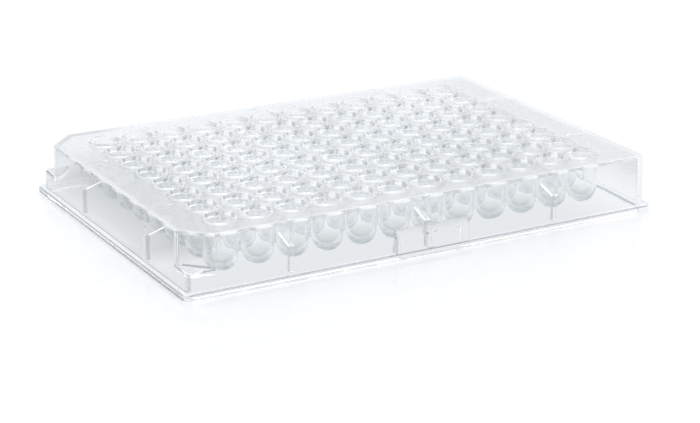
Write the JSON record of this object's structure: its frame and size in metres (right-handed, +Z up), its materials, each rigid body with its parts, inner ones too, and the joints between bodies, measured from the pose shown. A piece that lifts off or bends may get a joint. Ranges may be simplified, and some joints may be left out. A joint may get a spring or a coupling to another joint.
{
  "type": "well plate",
  "caption": "Clear rectangular microplate: a shallow tray on a flanged skirt, with a grid of small round-bottomed wells whose rims stand above the deck, and two notched corners.",
  "frame": {"origin": "middle of the footprint, on the bench", "axes": "+X along the twelve columns, away from the notched corners, +Y along the rows, +Z up out of the wells"},
  "size_m": [0.1278, 0.0854, 0.0143],
  "materials": {
    "clear_polystyrene": "clear polished moulding"
  },
  "bodies": {
    "root": {"well_plate": "clear_polystyrene"}
  },
  "joints": []
}
